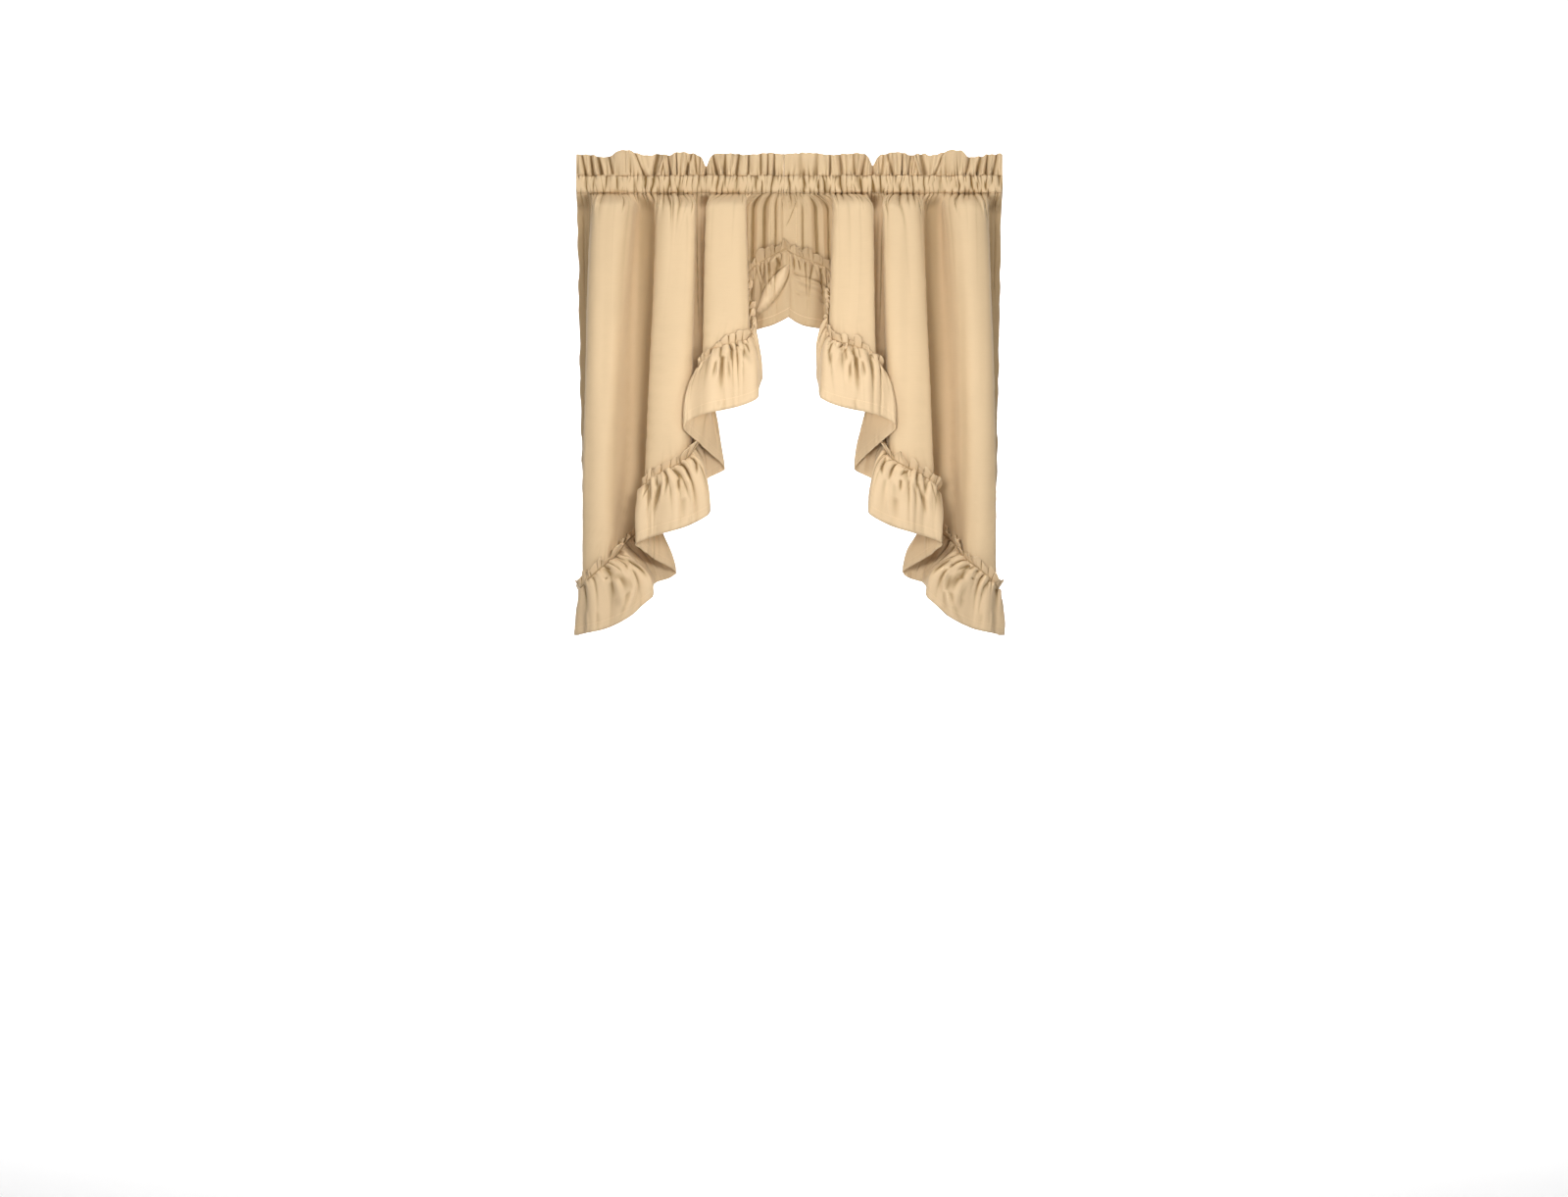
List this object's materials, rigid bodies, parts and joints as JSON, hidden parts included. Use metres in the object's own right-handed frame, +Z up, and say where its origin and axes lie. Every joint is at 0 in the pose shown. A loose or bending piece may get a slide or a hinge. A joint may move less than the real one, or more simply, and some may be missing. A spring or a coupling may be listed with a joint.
{
  "type": "ruffled window swag pair",
  "caption": "Pair of gathered window swags with a rod pocket, a frill above it and a ruffle cascading along the stepped lower edge.",
  "frame": {"origin": "on the centre line of the rod pocket, in the middle of the pair", "axes": "+X to the viewer's right along the rod, +Y away from the viewer towards the wall, +Z up"},
  "size_m": [0.8544, 0.1145, 0.9667],
  "materials": {
    "swag_cloth": "light camel polyester and cotton cloth with a soft sheen",
    "ruffle_cloth": "light camel polyester and cotton cloth with a soft sheen, gathered"
  },
  "bodies": {
    "root": {"left_panel": "swag_cloth", "left_rod_pocket": "swag_cloth", "left_heading_frill": "swag_cloth", "left_ruffle": "ruffle_cloth", "right_panel": "swag_cloth", "right_rod_pocket": "swag_cloth", "right_heading_frill": "swag_cloth", "right_ruffle": "ruffle_cloth"}
  },
  "joints": []
}
